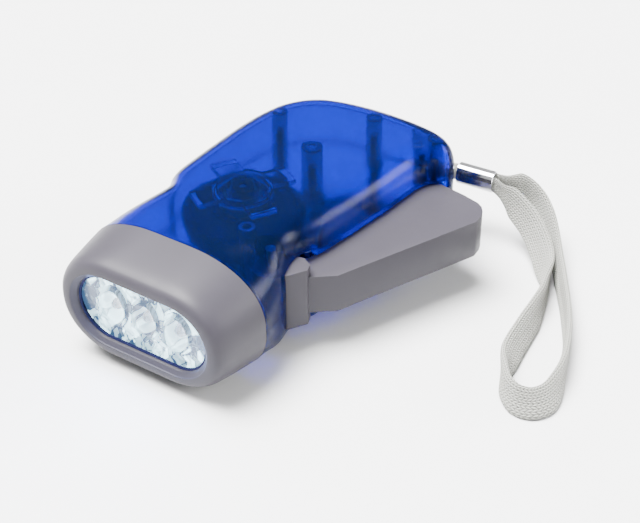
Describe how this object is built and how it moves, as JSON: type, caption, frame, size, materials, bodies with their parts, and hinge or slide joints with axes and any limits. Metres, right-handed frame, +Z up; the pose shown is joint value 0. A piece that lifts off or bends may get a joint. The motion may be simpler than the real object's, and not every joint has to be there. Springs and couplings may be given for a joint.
{
  "type": "squeeze dynamo flashlight",
  "caption": "Hand-press dynamo torch: see-through handle case with a rounded front bezel and lens, pivoting side lever, geared flywheel generator and flat wrist strap.",
  "frame": {"origin": "centre of the torch's box, strap left out, on the face that it rests on", "axes": "+X towards the lever's side, +Y from the lens to the tail, +Z up through the parting plane of the two shells"},
  "size_m": [0.1219, 0.116, 0.0348],
  "materials": {
    "grey_plastic": "satin moulded plastic",
    "blue_plastic": "glossy see-through plastic",
    "clear_plastic": "clear plastic",
    "mirror": "bright metallised plastic",
    "board": "printed board",
    "steel": "plain steel",
    "dark_steel": "dark oiled steel",
    "brass": "turned brass",
    "nylon": "natural nylon",
    "ferrite": "sintered ferrite",
    "copper": "enamelled copper wire",
    "chrome": "chromed steel",
    "red_sheath": "red wire sheath",
    "black_sheath": "black wire sheath",
    "braid": "flat braided cord"
  },
  "bodies": {
    "case": {"bezel": "grey_plastic", "front_lens": "clear_plastic", "reflector": "mirror", "led_left": "clear_plastic", "led_middle": "clear_plastic", "led_right": "clear_plastic", "led_board": "board", "lead_red": "red_sheath", "lead_black": "black_sheath", "top_shell": "blue_plastic", "bottom_shell": "blue_plastic", "case_screw_1": "steel", "case_screw_2": "steel", "case_screw_3": "steel", "case_screw_4": "steel", "case_screw_5": "steel", "pivot_pin": "steel", "return_spring": "steel", "second_shaft": "steel", "gear_plate": "steel", "plate_screw_1": "steel", "plate_screw_2": "steel", "plate_screw_3": "steel", "lower_yoke": "dark_steel", "upper_yoke": "dark_steel", "coil_bobbin": "nylon", "coil_winding": "copper", "rotor_bush_top": "brass", "rotor_bush_bottom": "brass", "strap_pin": "steel", "strap_anchor": "braid", "ferrule": "chrome", "strap_loop": "braid"},
    "lever": {"lever": "grey_plastic", "sector_gear": "nylon"},
    "first_wheel": {"drive_pinion": "nylon", "ratchet_pawls": "brass", "first_gear": "nylon"},
    "second_wheel": {"second_gear": "nylon"},
    "rotor": {"rotor_shaft": "steel", "rotor_pinion": "brass", "flywheel": "dark_steel", "flywheel_hub": "brass", "ring_magnet": "ferrite"}
  },
  "joints": [
    {"name": "lever_squeeze", "type": "hinge", "parent": "case", "child": "lever", "pos_m": [0.00817, -0.02235, 0.0174], "axis": [0, 0, 1], "range_deg": [0, 20], "stiffness_Nm_per_rad": 0.2, "springref_deg": -22.92},
    {"name": "first_wheel_spin", "type": "hinge", "parent": "case", "child": "first_wheel", "pos_m": [-0.01332, -0.00439, 0.0174], "axis": [0, 0, 1], "range_deg": [-120, 0]},
    {"name": "second_wheel_spin", "type": "hinge", "parent": "case", "child": "second_wheel", "pos_m": [-0.01712, 0.00981, 0.0174], "axis": [0, 0, 1], "range_deg": [0, 240]},
    {"name": "rotor_spin", "type": "hinge", "parent": "case", "child": "rotor", "pos_m": [-0.01332, -0.00439, 0.0174], "axis": [0, 0, 1], "range_deg": [-480, 0]}
  ],
  "couplings": [
    {"joint": "lever_squeeze", "follows": "rotor_spin", "ratio": -0.041667},
    {"joint": "first_wheel_spin", "follows": "rotor_spin", "ratio": 0.25},
    {"joint": "second_wheel_spin", "follows": "rotor_spin", "ratio": -0.5}
  ]
}
